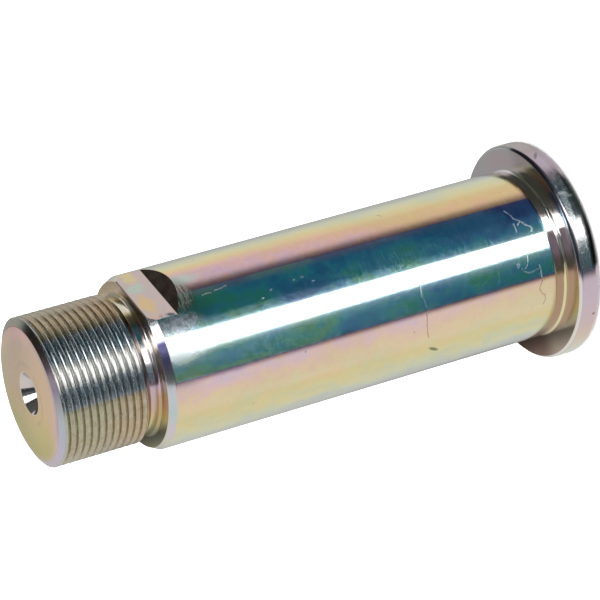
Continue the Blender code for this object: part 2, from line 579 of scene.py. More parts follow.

    # lead chamfer; its colours by turn carry a painted reflection: dark navy where it mirrors the dark room, with pale
    # edges either side
    on_lead = g.smooth(z, 92.42, 92.5)
    lead = g.around(
        (-180, (0.60, 0.58, 0.44)),
        (-90, (0.58, 0.57, 0.48)),
        (-72, (0.60, 0.58, 0.46)),
        (-56, (0.62, 0.55, 0.58)),
        (-40, (0.50, 0.58, 0.58)),
        (-22, (0.58, 0.58, 0.62)),
        (-18, (0.72, 0.75, 0.78)),
        (-14, (0.52, 0.54, 0.60)),
        (-9, (0.25, 0.26, 0.36)),
        (-3, (0.13, 0.13, 0.26)),
        (2, (0.17, 0.17, 0.33)),
        (7, (0.18, 0.17, 0.34)),
        (11, (0.70, 0.72, 0.76)),
        (43, (0.60, 0.60, 0.60)),
        (72, (0.60, 0.60, 0.46)),
        (180, (0.60, 0.58, 0.44)),
    )
    colour = g.mix(on_lead, colour, lead)

    # flat, with its own film, and the wall at its end
    rise = g.sub(FLAT_Y, y)
    on_flat = g.mul(g.smooth(g.math("ABSOLUTE", rise), 0.01, 0.03, 1.0, 0.0), g.smooth(z, 87.9, 88.0))
    flat = g.mix(g.smooth(cloud_c, -0.2, 0.2), (0.57, 0.46, 0.44), (0.53, 0.46, 0.43))
    uneven = g.sub(g.noise(mm, 0.55, 3.0, 0.6), 0.5)
    xw, zu = g.add(x, g.mul(uneven, 5.0)), g.sub(z, g.mul(uneven, 3.5))
    flat = g.mix(g.mul(g.patch(xw, zu, -3.2, 92.0, 2.9, 1.5, 0.45), 0.85), flat, (0.67, 0.49, 0.25))
    flat = g.mix(g.mul(g.patch(xw, zu, 2.4, 91.9, 1.5, 1.6, 0.35), 0.85), flat, (0.46, 0.55, 0.47))
    flat = g.mix(g.mul(g.patch(xw, zu, 7.0, 91.2, 2.6, 1.5, 0.4), 0.8), flat, (0.66, 0.56, 0.28))
    flat = g.mix(g.smooth(x, -8.0, -6.0, 0.7, 0.0), flat, (0.60, 0.42, 0.34))
    flat = g.mix(g.smooth(z, 93.66, 93.76, 0.0, 0.85), flat, (0.09, 0.075, 0.06))
    colour = g.mix(on_flat, colour, flat)
    rough = g.lerp(on_flat, rough, 0.16)
    lean = g.sub(z, g.sub(FLAT_Z, g.mul(rise, FLAT_RUN)))
    on_wall = g.mul(
        g.mul(g.smooth(g.math("ABSOLUTE", lean), 0.02, 0.05, 1.0, 0.0), g.smooth(rise, -0.01, 0.02)),
        g.smooth(r, 17.44, 17.48, 1.0, 0.0),
    )
    # painted shade: the wall at the flat's end is coloured dark brown
    wall = g.mix(g.smooth(g.noise(mm, 0.4, 3.0, 0.6), 0.35, 0.65), (0.15, 0.11, 0.085), (0.25, 0.19, 0.15))
    colour = g.mix(on_wall, colour, wall)
    rough = g.lerp(on_wall, rough, 0.22)

    # scratches, placed by the way round the body and the height
    jitter = g.mul(g.sub(g.noise(mm, 1.3, 2.0, 0.6), 0.5), 0.5)
    round_mm = g.mul(t, math.radians(1) * BODY_R)
    spot = g.vector(g.add(round_mm, jitter), g.add(z, g.mul(jitter, -0.8)), 0.0)
    hair = g.strokes(
        spot,
        [
            [(9.3, 14.1), (8.0, 13.3), (7.1, 13.1), (6.4, 12.2), (5.4, 11.5), (4.6, 10.4), (4.0, 10.2), (3.5, 10.6)],
            [(6.1, 12.2), (5.6, 12.8)],
            [(-1.9, 15.5), (-2.3, 16.0), (-2.8, 15.8), (-2.4, 15.3), (-1.9, 15.5)],
            [(-2.9, 15.1), (-3.7, 14.7), (-4.4, 13.5), (-4.3, 12.5), (-3.9, 10.8)],
            [(-0.9, 13.2), (-2.2, 13.4), (-3.1, 13.9), (-3.3, 14.5)],
            [(-0.8, 37.8), (-1.9, 38.0), (-3.3, 38.0), (-4.2, 37.6), (-5.3, 37.4)],
        ],
    )
    marks = g.smooth(hair, 0.05, g.smooth(t, -1.0, 1.0, 0.19, 0.27), g.smooth(t, -1.0, 1.0, 0.5, 0.85), 0.0)
    bold = g.strokes(
        spot,
        [
            [(6.1, 13.6), (5.0, 13.6), (4.3, 13.7)],
            [(-3.3, 11.0), (-4.6, 10.8), (-5.9, 10.8)],
            [(9.4, 81.6), (9.6, 80.6), (9.5, 79.7)],
            [(9.7, 78.9), (9.9, 77.4), (10.2, 76.2)],
            [(8.9, 85.1), (9.0, 84.1)],
            [(6.5, 68.3), (6.6, 68.0)],
            [(7.2, 62.9), (7.4, 62.6)],
            [(7.5, 61.1), (7.4, 60.8)],
            [(6.0, 59.2), (6.0, 58.9)],
            [(5.2, 70.5), (5.3, 70.3)],
        ],
    )
    marks = g.math("MAXIMUM", marks, g.smooth(bold, 0.04, 0.26, 0.70, 0.0))
    marks = g.mul(marks, g.smooth(fine, 0.25, 0.50, 0.65, 1.0))
    colour = g.mix(marks, colour, (0.74, 0.78, 0.86))
    rough = g.lerp(marks, rough, 0.52)
    height = g.sub(height, g.mul(marks, 1.6))
    dark_line = g.strokes(
        spot,
        [
            [(-6.7, 10.8), (-7.7, 11.3), (-8.5, 11.5), (-9.4, 11.1), (-9.9, 10.3), (-10.9, 10.1), (-12.1, 10.6)],
            [(-6.5, 37.5), (-8.8, 37.6), (-10.9, 37.5), (-12.0, 37.2)],
            [(18.2, 38.5), (17.2, 38.0)],
        ],
    )
    pit = g.patch(
        g.sub(g.mul(round_mm, 0.85), g.mul(z, 0.53)), g.add(g.mul(z, 0.85), g.mul(round_mm, 0.53)), -32.1, 22.13, 0.38, 1.25, 0.45
    )
    dark = g.math("MAXIMUM", g.smooth(dark_line, 0.03, 0.20, 0.42, 0.0), g.mul(pit, 0.75))
    # a few small specks all over, never in a row
    cell = g.node("ShaderNodeTexVoronoi", feature="F1")
    g.put(cell.inputs["Vector"], mm)
    g.put(cell.inputs["Scale"], 0.19)
    lot = g.node("ShaderNodeSeparateXYZ")
    g.put(lot.inputs[0], cell.outputs["Color"])
    specks = g.mul(
        g.smooth(cell.outputs["Distance"], 0.015, 0.06, 1.0, 0.0),
        g.smooth(lot.outputs[0], 0.62, 0.66),
    )
    dark = g.math("MAXIMUM", dark, g.mul(specks, 0.4))
    colour = g.mix(dark, colour, (0.09, 0.08, 0.035))
    height = g.sub(height, g.mul(dark, 1.6))

    # brushed and burred metal round the corner of the flat
    brushed = g.noise(g.vector(g.mul(round_mm, 0.22), g.mul(z, 1.6), 0.0), 1.6, 3.0, 0.65)
    by_wall = g.mul(g.patch(t, z, 34.5, 85.9, 10.0, 2.3, 0.45), g.smooth(brushed, 0.40, 0.56))
    by_wall = g.mul(by_wall, g.smooth(r, 17.45, 17.49))
    worn = g.mul(g.patch(t, z, 37.0, 85.6, 13.0, 2.4, 0.5), g.smooth(r, 17.45, 17.49))
    colour = g.mix(g.mul(worn, 0.6), colour, (0.17, 0.18, 0.16))
    colour = g.mix(g.mul(by_wall, 0.6), colour, (0.55, 0.54, 0.46))
    rough = g.lerp(by_wall, rough, 0.38)
    height = g.add(height, g.mul(g.mul(brushed, by_wall), 3.0))
    crumbs = g.noise(mm, 0.8, 3.0, 0.6)
    burr = g.patch(g.add(t, g.mul(g.sub(crumbs, 0.5), 16.0)), z, 17.5, 88.6, 5.5, 4.8, 0.45)
    colour = g.mix(g.mul(burr, 0.8), colour, g.mix(g.smooth(crumbs, 0.36, 0.62), (0.16, 0.19, 0.22), (0.60, 0.62, 0.72)))
    rough = g.lerp(burr, rough, 0.36)
    height = g.add(height, g.mul(g.mul(crumbs, burr), 1.2))
    torn = g.patch(g.add(x, g.mul(g.sub(crumbs, 0.5), 3.4)), z, -8.7, 89.4, 1.25, 2.6, 0.4)
    torn = g.mul(g.mul(torn, on_flat), 0.85)
    colour = g.mix(torn, colour, g.mix(g.smooth(crumbs, 0.38, 0.60), (0.12, 0.14, 0.16), (0.42, 0.45, 0.53)))
    rough = g.lerp(torn, rough, 0.40)
    return g.done(colour, rough, height)


def head_plating():
    g = Plating("plated_head")
    x, y, z, r, t, mm = g.x, g.y, g.z, g.r, g.t, g.mm
    cloud_b = g.cloud(0.17, 0.5, 40.0)

    # seat and relief: lilac grey, greener to the top, with olive in the relief
    seat = g.film(
        g.curve(
            t, (-180, 0.35), (-100, 0.55), (-60, 0.48), (-30, 0.38), (-5, 0.56), (40, 0.50),
            (60, 0.53), (78, 0.42), (100, 0.05), (180, 0.35),
        )
    )
    seat = g.mix(g.smooth(t, -20.0, 20.0, 0.5, 0.75), seat, (0.52, 0.50, 0.50))
    seat = g.mix(g.smooth(t, -24.0, -18.0, 0.6, 0.0), seat, (0.60, 0.50, 0.33))
    relief = g.mix(g.smooth(t, -22.0, -14.0), (0.66, 0.53, 0.46), (0.66, 0.65, 0.64))
    fillet = g.mul(g.between(r, 17.12, 17.62, 0.2), g.between(z, 5.02, 5.62, 0.2))
    relief = g.mix(g.mul(fillet, g.smooth(t, -20.0, -10.0, 0.9, 0.3)), relief, (0.74, 0.68, 0.38))
    relief = g.mix(g.smooth(t, 22.0, 34.0), relief, (0.50, 0.53, 0.42))
    # painted shade: the fillet in the crease between relief and seat is darkened round the front
    relief = g.mix(g.mul(fillet, g.between(t, -15.0, 5.0, 5.0)), relief, (0.42, 0.38, 0.30), "MULTIPLY")
    seat = g.mix(g.smooth(r, 17.6, 18.0, 1.0, 0.0), seat, relief)
    # painted highlight: seat and relief turn paler and neutral where the body's highlight is mirrored in them
    seat = g.mix(g.mul(g.between(t, -9.0, 22.0, 8.0), 0.7), seat, (0.72, 0.70, 0.70))

    # rim and outer face
    on_rim = g.smooth(z, 4.93, 4.97, 1.0, 0.0)
    thick = g.curve(
        t, (-180, 0.2), (-120, 0.5), (-88, 0.12), (-60, 0.40), (-44, 0.56), (-20, 0.62), (40, 0.62),
        (60, 0.56), (88, 0.36), (130, 0.15), (180, 0.2),
    )
    rim = g.mix(0.52, g.film(g.add(thick, g.mul(cloud_b, 0.16))), (0.54, 0.50, 0.51))
    cloud = g.cloud(0.09, 0.45)
    outer = g.mix(0.35, g.film(g.add(0.28, g.mul(cloud, 1.1))), (0.52, 0.50, 0.46))
    rim = g.mix(g.smooth(z, 0.02, 0.06, 1.0, 0.0), rim, outer)
    zone = g.mul(g.smooth(t, -19.0, -15.0), g.smooth(t, 31.0, 38.0, 1.0, 0.0))
    rim = g.mix(g.mul(zone, 0.85), rim, (0.54, 0.53, 0.53))
    # painted highlight: the rim is made nearly white from t 9 to 25, the bright front beside the softbox highlight
    rim = g.mix(g.mul(g.between(t, 9.0, 25.0, 4.0), 0.9), rim, (0.92, 0.91, 0.93))
    shade = g.mul(g.smooth(t, 7.0, 11.0), g.smooth(t, 21.0, 28.0, 1.0, 0.15))
    edge = g.add(z, g.mul(g.sub(g.noise(mm, 0.9, 3.0, 0.6), 0.5), 0.9))
    # painted shade: a near black band along the rim's rear edge from t -19 to 38
    rim = g.mix(g.mul(g.mul(zone, g.smooth(edge, 1.5, 2.1, 1.0, 0.0)), 0.96), rim, (0.020, 0.024, 0.021))
    shade = g.mul(shade, g.smooth(g.add(edge, g.mul(t, 0.02)), 2.9, 3.5, 1.0, 0.0))
    rim = g.mix(g.mul(shade, 0.9), rim, (0.075, 0.092, 0.085))
    # painted reflection: a dark line on the bevel from t -16 round to 72, greyer beyond, pale below
    bevel = g.mul(g.smooth(z, 4.46, 4.56), g.smooth(r, 21.88, 21.94))
    line = g.mix(g.smooth(t, -24.0, -16.0), (0.70, 0.70, 0.66), (0.05, 0.05, 0.09))
    line = g.mix(g.smooth(t, 68.0, 72.0), line, (0.36, 0.40, 0.38))
    rim = g.mix(g.mul(bevel, 0.9), rim, line)
    # painted shade: the seat is darker on its lower side, round towards the back
    seat = g.mix(g.smooth(t, -97.0, -78.0, 1.0, 0.0), seat, (0.57, 0.45, 0.44), "MULTIPLY")
    seat = g.mix(g.mul(g.smooth(t, 60.0, 76.0), g.smooth(t, 118.0, 140.0, 1.0, 0.0)), seat, (0.68, 0.64, 0.65))
    seat = g.mix(g.mul(g.patch(t, r, 84.0, 19.6, 16.0, 1.6, 0.6), 0.6), seat, (0.74, 0.58, 0.60))
    rim = g.mix(g.smooth(t, 34.0, 42.0), rim, (0.84, 0.84, 0.86), "MULTIPLY")
    rim = g.mix(g.patch(t, z, 70.0, 3.0, 16.0, 4.0, 0.5), rim, (0.70, 0.75, 0.75), "MULTIPLY")
    colour = g.mix(on_rim, seat, rim)
    plain = g.mix(0.4, g.film(g.add(0.3, g.mul(cloud, 0.8))), (0.52, 0.48, 0.46))
    colour = g.mix(g.mul(g.at_back, g.smooth(z, 0.02, 0.06)), colour, plain)
    rough = g.lerp(on_rim, g.lerp(g.between(t, -14.0, 10.0, 5.0), 0.12, 0.055), g.lerp(zone, 0.15, 0.21))
    rings = g.noise(g.vector(g.mul(x, 0.01), g.mul(y, 0.01), g.add(z, r)), 7.0, 4.0, 0.7)
    height = g.mul(rings, 0.8)

    # scuffs on the rim
    on_scuff = g.mul(on_rim, g.between(z, 0.6, 4.25, 0.5))
    scuff = g.noise(g.vector(x, y, g.mul(z, 1.2)), 0.95, 5.0, 0.72)
    worn = g.mul(g.mul(g.smooth(t, -16.0, -8.0), g.smooth(t, 28.0, 38.0, 1.0, 0.0)), on_scuff)
    height = g.add(height, g.mul(g.mul(scuff, worn), 1.2))
    light = g.mul(g.mul(worn, g.smooth(edge, 1.7, 2.2)), g.smooth(scuff, 0.42, 0.68))
    light = g.mul(light, g.sub(1.0, g.mul(shade, 0.75)))
    colour = g.mix(g.mul(light, 0.7), colour, (0.66, 0.72, 0.70))
    rough = g.lerp(light, rough, 0.30)
    dark = g.mul(
        g.mul(on_scuff, g.patch(t, z, 29.0, 2.0, 9.0, 1.9, 0.5)),
        g.smooth(scuff, 0.60, 0.40),
    )
    colour = g.mix(g.mul(dark, 0.7), colour, (0.17, 0.17, 0.16))
    nick = g.patch(g.add(t, g.mul(z, 3.0)), z, 62.0, 2.9, 1.3, 0.8, 0.5)
    nick = g.math("MAXIMUM", nick, g.patch(t, z, -44.5, 1.5, 0.7, 0.35, 0.5))
    colour = g.mix(g.mul(g.mul(nick, 0.7), on_scuff), colour, (0.14, 0.11, 0.11))
    blot = g.mul(g.patch(g.sub(t, g.mul(z, 0.5)), z, 22.4, 3.3, 0.9, 1.0, 0.4), on_scuff)
    blot = g.math("MAXIMUM", blot, g.mul(g.mul(g.patch(g.sub(t, g.mul(z, 0.5)), z, 21.0, 2.4, 1.0, 0.9, 0.5), on_scuff), 0.55))
    colour = g.mix(g.mul(blot, 0.7), colour, (0.85, 0.87, 0.86))
    rough = g.lerp(blot, rough, 0.5)
    return g.done(colour, rough, height)


def end_plating():
    g = Plating("plated_end")
    x, y, z, r, t, mm = g.x, g.y, g.z, g.r, g.t, g.mm
    cloud_b, cloud_c = g.cloud(0.17, 0.5, 40.0), g.cloud(0.33, 0.8, 90.0)

    # shoulder and undercut
    shoulder = g.film(
        g.curve(
            t, (-180, 0.25), (-110, 0.30), (-75, 0.14), (-60, 0.20), (-46, 0.34), (-36, 0.47),
            (-22, 0.22), (0, 0.30), (40, 0.55), (70, 0.42), (180, 0.25),
        )
    )
    shoulder = g.mix(0.30, shoulder, (0.52, 0.48, 0.42))
    under = g.film(
        g.curve(
            t, (-180, 0.2), (-75, 0.16), (-58, 0.24), (-48, 0.42), (-36, 0.60), (-20, 0.64),
            (20, 0.6), (50, 0.25), (180, 0.2),
        )
    )
    under = g.mix(0.30, under, (0.55, 0.50, 0.40))
    under = g.mix(g.mul(g.smooth(t, -34.0, -22.0, 1.0, 0.0), g.smooth(z, 94.3, 95.6, 0.8, 0.3)), under, (0.46, 0.33, 0.15))
    under = g.mix(g.mul(g.between(t, -10.0, 24.0, 8.0), 0.8), under, (0.58, 0.57, 0.55))
    # painted shade: the undercut is darker olive on its lower side
    under = g.mix(g.smooth(t, -76.0, -62.0, 0.75, 0.0), under, (0.30, 0.27, 0.15))
    # painted shade and highlight: the undercut is darkened from t 28 to 42, made near white from 45 to 61, and
    # darkened again above 64 low down, setting how bright its reflections come out
    under = g.mix(g.between(t, 28.0, 42.0, 6.0), under, (0.52, 0.52, 0.46), "MULTIPLY")
    under = g.mix(g.mul(g.between(t, 45.0, 61.0, 5.0), 0.85), under, g.mix(g.smooth(z, 95.0, 95.4), (0.98, 0.92, 0.80), (0.70, 0.64, 0.52)))
    under = g.mix(g.mul(g.smooth(t, 64.0, 70.0), g.smooth(z, 95.0, 95.4, 1.0, 0.0)), under, (0.40, 0.42, 0.45), "MULTIPLY")
    shoulder = g.mix(g.mul(g.between(t, -10.0, 20.0, 8.0), 0.7), shoulder, (0.60, 0.58, 0.54))
    # painted shade: the shoulder is darker olive on its lower side
    shoulder = g.mix(g.smooth(t, -62.0, -50.0, 0.5, 0.0), shoulder, (0.34, 0.31, 0.20))
    shoulder = g.mix(g.mul(g.between(t, -27.0, -8.0, 6.0), 0.6), shoulder, (0.52, 0.53, 0.47))
    shoulder = g.mix(g.between(t, 20.0, 36.0, 6.0), shoulder, (0.52, 0.60, 0.64))
    # painted shade: the shoulder is darkened from t 36 to 63, on the side of the flat
    shoulder = g.mix(g.between(t, 36.0, 63.0, 10.0), shoulder, (0.43, 0.37, 0.34), "MULTIPLY")
    colour = g.mix(g.smooth(g.math("ABSOLUTE", g.sub(z, 94.0)), 0.04, 0.10), shoulder, under)
    rings = g.noise(g.vector(g.mul(x, 0.01), g.mul(y, 0.01), g.add(z, r)), 7.0, 4.0, 0.7)
    height = g.mul(rings, 0.8)

    # thread: khaki on top and below, neutral steel in the middle strip
    on_thread = g.smooth(z, 97.0, 97.6)
    thick = g.curve(
        t, (-180, 0.30), (-80, 0.30), (-60, 0.32), (-45, 0.24), (-24, 0.14), (-10, 0.2), (36, 0.24),
        (60, 0.36), (80, 0.12), (180, 0.30),
    )
    wash = g.mix(0.45, g.film(g.add(thick, g.mul(cloud_b, 0.5))), (0.3, 0.26, 0.2))
    warm = g.smooth(g.add(z, g.mul(cloud_b, 24.0)), 100.0, 109.0, 1.0, 0.0)
    thread = g.mix(warm, (0.38, 0.36, 0.26), (0.45, 0.34, 0.235))
    thread = g.mix(0.35, thread, wash)
    steel = g.mix(g.smooth(cloud_c, -0.15, 0.15), (0.44, 0.46, 0.48), (0.36, 0.42, 0.46))
    in_steel = g.mul(g.smooth(t, -22.5, -19.5), g.smooth(t, 33.0, 39.0, 1.0, 0.0))
    thread = g.mix(in_steel, thread, steel)
    # painted shade: the thread's roots are darkened a little, except on the top side
    thread = g.mix(g.smooth(r, 14.55, 14.85, g.smooth(t, 36.0, 42.0, 0.16, 0.0), 0.0), thread, (0.16, 0.14, 0.10))
    # painted light: on the top side the roots are made lighter and the crests darker, evening out the shade between
    # them
    thread = g.mix(g.mul(g.smooth(t, 38.0, 44.0), g.smooth(r, 14.5, 14.9, 0.85, 0.0)), thread, (0.86, 0.79, 0.64))
    thread = g.mix(g.mul(g.smooth(t, 38.0, 46.0), g.smooth(r, 14.7, 14.93)), thread, (0.90, 0.80, 0.70), "MULTIPLY")
    # painted shade: the thread is darker where the softbox highlight falls, to tame that highlight
    thread = g.mix(g.mul(g.between(t, -5.0, 14.0, 6.0), 0.6), thread, (0.42, 0.40, 0.36))
    thread = g.mix(g.mul(g.smooth(t, 56.0, 62.0), 0.25), thread, (0.20, 0.18, 0.14))
    speckle = g.noise(g.vector(g.mul(x, 0.62), g.mul(y, 0.62), g.mul(z, 1.5)), 1.0, 4.0, 0.7)
    thread = g.mix(g.smooth(speckle, 0.48, 0.74, 0.0, 0.42), thread, (0.64, 0.61, 0.54))
    thread = g.mix(g.smooth(speckle, 0.26, 0.48, 0.50, 0.0), thread, (0.16, 0.15, 0.13))
    colour = g.mix(on_thread, colour, thread)
    plain = g.mix(0.4, g.film(g.add(0.28, g.mul(cloud_b, 0.7))), (0.50, 0.44, 0.34))
    plain = g.mix(g.mul(on_thread, g.smooth(speckle, 0.35, 0.7, 0.75, 0.35)), plain, (0.26, 0.22, 0.16))
    colour = g.mix(g.at_back, colour, plain)
    rough = g.lerp(on_thread, g.lerp(g.between(t, -22.0, 0.0, 5.0), 0.14, 0.05), g.add(0.22, g.mul(g.smooth(speckle, 0.4, 0.7), 0.06)))
    grain = g.noise(mm, 3.2, 2.0, 0.6)
    height = g.add(height, g.mul(on_thread, g.add(g.mul(grain, 0.5), g.mul(speckle, 1.2))))

    first = g.mul(g.smooth(z, 114.12, 114.2), g.smooth(t, -24.0, -14.0, 1.0, 0.0))
    colour = g.mix(g.mul(first, 0.7), colour, (0.44, 0.47, 0.46))
    first = g.mul(g.smooth(z, 113.9, 114.05), g.smooth(t, 36.0, 44.0))
    colour = g.mix(g.mul(first, 0.75), colour, (0.40, 0.43, 0.42))
    # painted shade: the end chamfer's colours by turn are darker from t -15 round to 70, most at t -3 and 60, where it
    # mirrors the dark room
    on_chamfer = g.smooth(z, 114.68, 114.76)
    chamfer = g.around(
        (-180, (0.55, 0.48, 0.38)),
        (-86, (0.52, 0.44, 0.48)),
        (-58, (0.50, 0.46, 0.54)),
        (-29, (0.44, 0.47, 0.50)),
        (-15, (0.36, 0.35, 0.37)),
        (-3, (0.27, 0.23, 0.29)),
        (11, (0.42, 0.33, 0.38)),
        (36, (0.34, 0.31, 0.27)),
        (60, (0.20, 0.21, 0.18)),
        (70, (0.34, 0.34, 0.28)),
        (78, (0.44, 0.42, 0.34)),
        (180, (0.55, 0.48, 0.38)),
    )
    colour = g.mix(on_chamfer, colour, chamfer)
    rough = g.lerp(on_chamfer, rough, 0.16)

    # end face: pink at the top, tan, then olive yellow below
    on_end = g.smooth(z, 115.41, 115.46)
    rise_up = g.mul(y, -1.0)
    end_place = g.add(rise_up, g.add(g.mul(x, 0.22), g.mul(cloud_b, 7.0)))
    end = g.ramp(
        g.math("DIVIDE", g.add(end_place, 16.0), 32.0),
        [
            (0.0, (0.50, 0.46, 0.16)),
            (0.22, (0.50, 0.46, 0.175)),
            (0.38, (0.59, 0.45, 0.225)),
            (0.52, (0.61, 0.44, 0.29)),
            (0.70, (0.58, 0.43, 0.30)),
            (0.88, (0.58, 0.42, 0.37)),
            (1.0, (0.58, 0.38, 0.42)),
        ],
    )
    end = g.mix(g.mul(g.smooth(x, -13.0, -8.0, 1.0, 0.0), g.smooth(rise_up, -12.0, 2.0)), end, (0.62, 0.45, 0.44))
    end = g.mix(g.smooth(x, 6.0, 13.0, 0.0, 0.6), end, (0.50, 0.50, 0.30))
    end = g.mix(1.0, end, g.mix(g.smooth(x, -7.0, 8.0), (0.90, 0.84, 0.68), (0.68, 0.65, 0.60)), "MULTIPLY")
    end = g.mix(g.mul(g.smooth(r, 12.0, 13.4), g.mul(g.between(t, -150.0, 40.0, 40.0), 0.35)), end, (0.62, 0.48, 0.52))
    end = g.mix(g.mul(g.smooth(r, 11.9, 13.1), g.between(t, -46.0, 44.0, 22.0)), end, (0.72, 0.77, 0.92), "MULTIPLY")
    end = g.mix(g.mul(g.smooth(r, 9.6, 12.8), g.between(t, 54.0, 132.0, 20.0)), end, (1.24, 1.09, 1.20), "MULTIPLY")
    ring = g.mul(g.between(r, 5.6, 6.5, 0.7), g.smooth(cloud_c, -0.08, 0.12))
    end = g.mix(g.mul(ring, 0.30), end, (0.25, 0.20, 0.14))
    colour = g.mix(on_end, colour, end)
    rough = g.lerp(on_end, rough, 0.24)

    # painted shade: the centre hole is darker towards its bottom
    in_centre = g.smooth(r, 4.25, 4.4, 1.0, 0.0)
    centre = g.mix(g.smooth(z, 112.0, 114.5), (0.42, 0.42, 0.46), (0.60, 0.55, 0.52))
    colour = g.mix(in_centre, colour, centre)
    rough = g.lerp(in_centre, rough, 0.10)
    return g.done(colour, rough, height)


axle.data.materials.clear()
for plating in (body_plating(), head_plating(), end_plating()):
    axle.data.materials.append(plating)
for face in axle.data.polygons:
    height = face.center.z / MM
    face.material_index = 1 if height < 7.3 else 2 if height > 93.96 or face.center.xy.length < 5 * MM else 0
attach(axle, "root")
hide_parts("stub_axle")


# ---------------------------------------------------------------- studio


def floor_material():
    material = bpy.data.materials.new("pale_floor")
    material.use_nodes = True
    shader = material.node_tree.nodes["Principled BSDF"]
    shader.inputs["Base Color"].default_value = (0.90, 0.90, 0.90, 1.0)
    shader.inputs["Roughness"].default_value = 1.0
    shader.inputs["Specular IOR Level"].default_value = 0.0
    return material


shape = bmesh.new()
bmesh.ops.create_grid(shape, x_segments=1, y_segments=1, size=6.0)
floor = mesh_object("floor", shape)
floor.data.materials.append(floor_material())
floor.visible_glossy = False  # the plating mirrors the studio's cards instead


def card_material():
    """A white card that is shaded where the axle stands close to it."""
    material = bpy.data.materials.new("white_card")
    material.use_nodes = True
    tree = material.node_tree
    tree.nodes.clear()
    g = Graph(tree)
    parts = g.node("ShaderNodeSeparateXYZ")
    g.put(parts.inputs[0], g.node("ShaderNodeTexCoord").outputs["Object"])
    x, y, z = (g.mul(item, 1000.0) for item in parts.outputs)
    near = g.math("DIVIDE", x, 8.5)
    shade = g.math("EXPONENT", g.mul(-1.0, g.mul(near, near)))
    beside = g.mul(g.smooth(z, -30.0, -2.0), g.smooth(z, 100.0, 124.0, 1.0, 0.0))
    light = g.mul(0.92, g.sub(1.0, g.mul(g.mul(shade, beside), 0.88)))
    glow = g.node("ShaderNodeEmission")
    g.put(glow.inputs["Color"], g.vector(light, light, light))
    out = g.node("ShaderNodeOutputMaterial")
    tree.links.new(glow.outputs[0], out.inputs["Surface"])
    material.cycles.emission_sampling = "NONE"
    return material


def card():
    """The card leans along the axle, from the head's rim to the shoulder, and only
    the plating sees it."""
    shape = bmesh.new()
    corners = [
        shape.verts.new((x * MM, (22.9 - 0.054 * z) * MM, z * MM))
        for x, z in ((-150, -60), (45, -60), (45, 260), (-150, 260))
    ]
    shape.faces.new(corners)
    made = mesh_object("card", shape)
    made.data.materials.append(card_material())
    made.visible_camera = False
    made.visible_diffuse = False
    made.visible_transmission = False
    made.visible_volume_scatter = False
    made.visible_shadow = False


card()


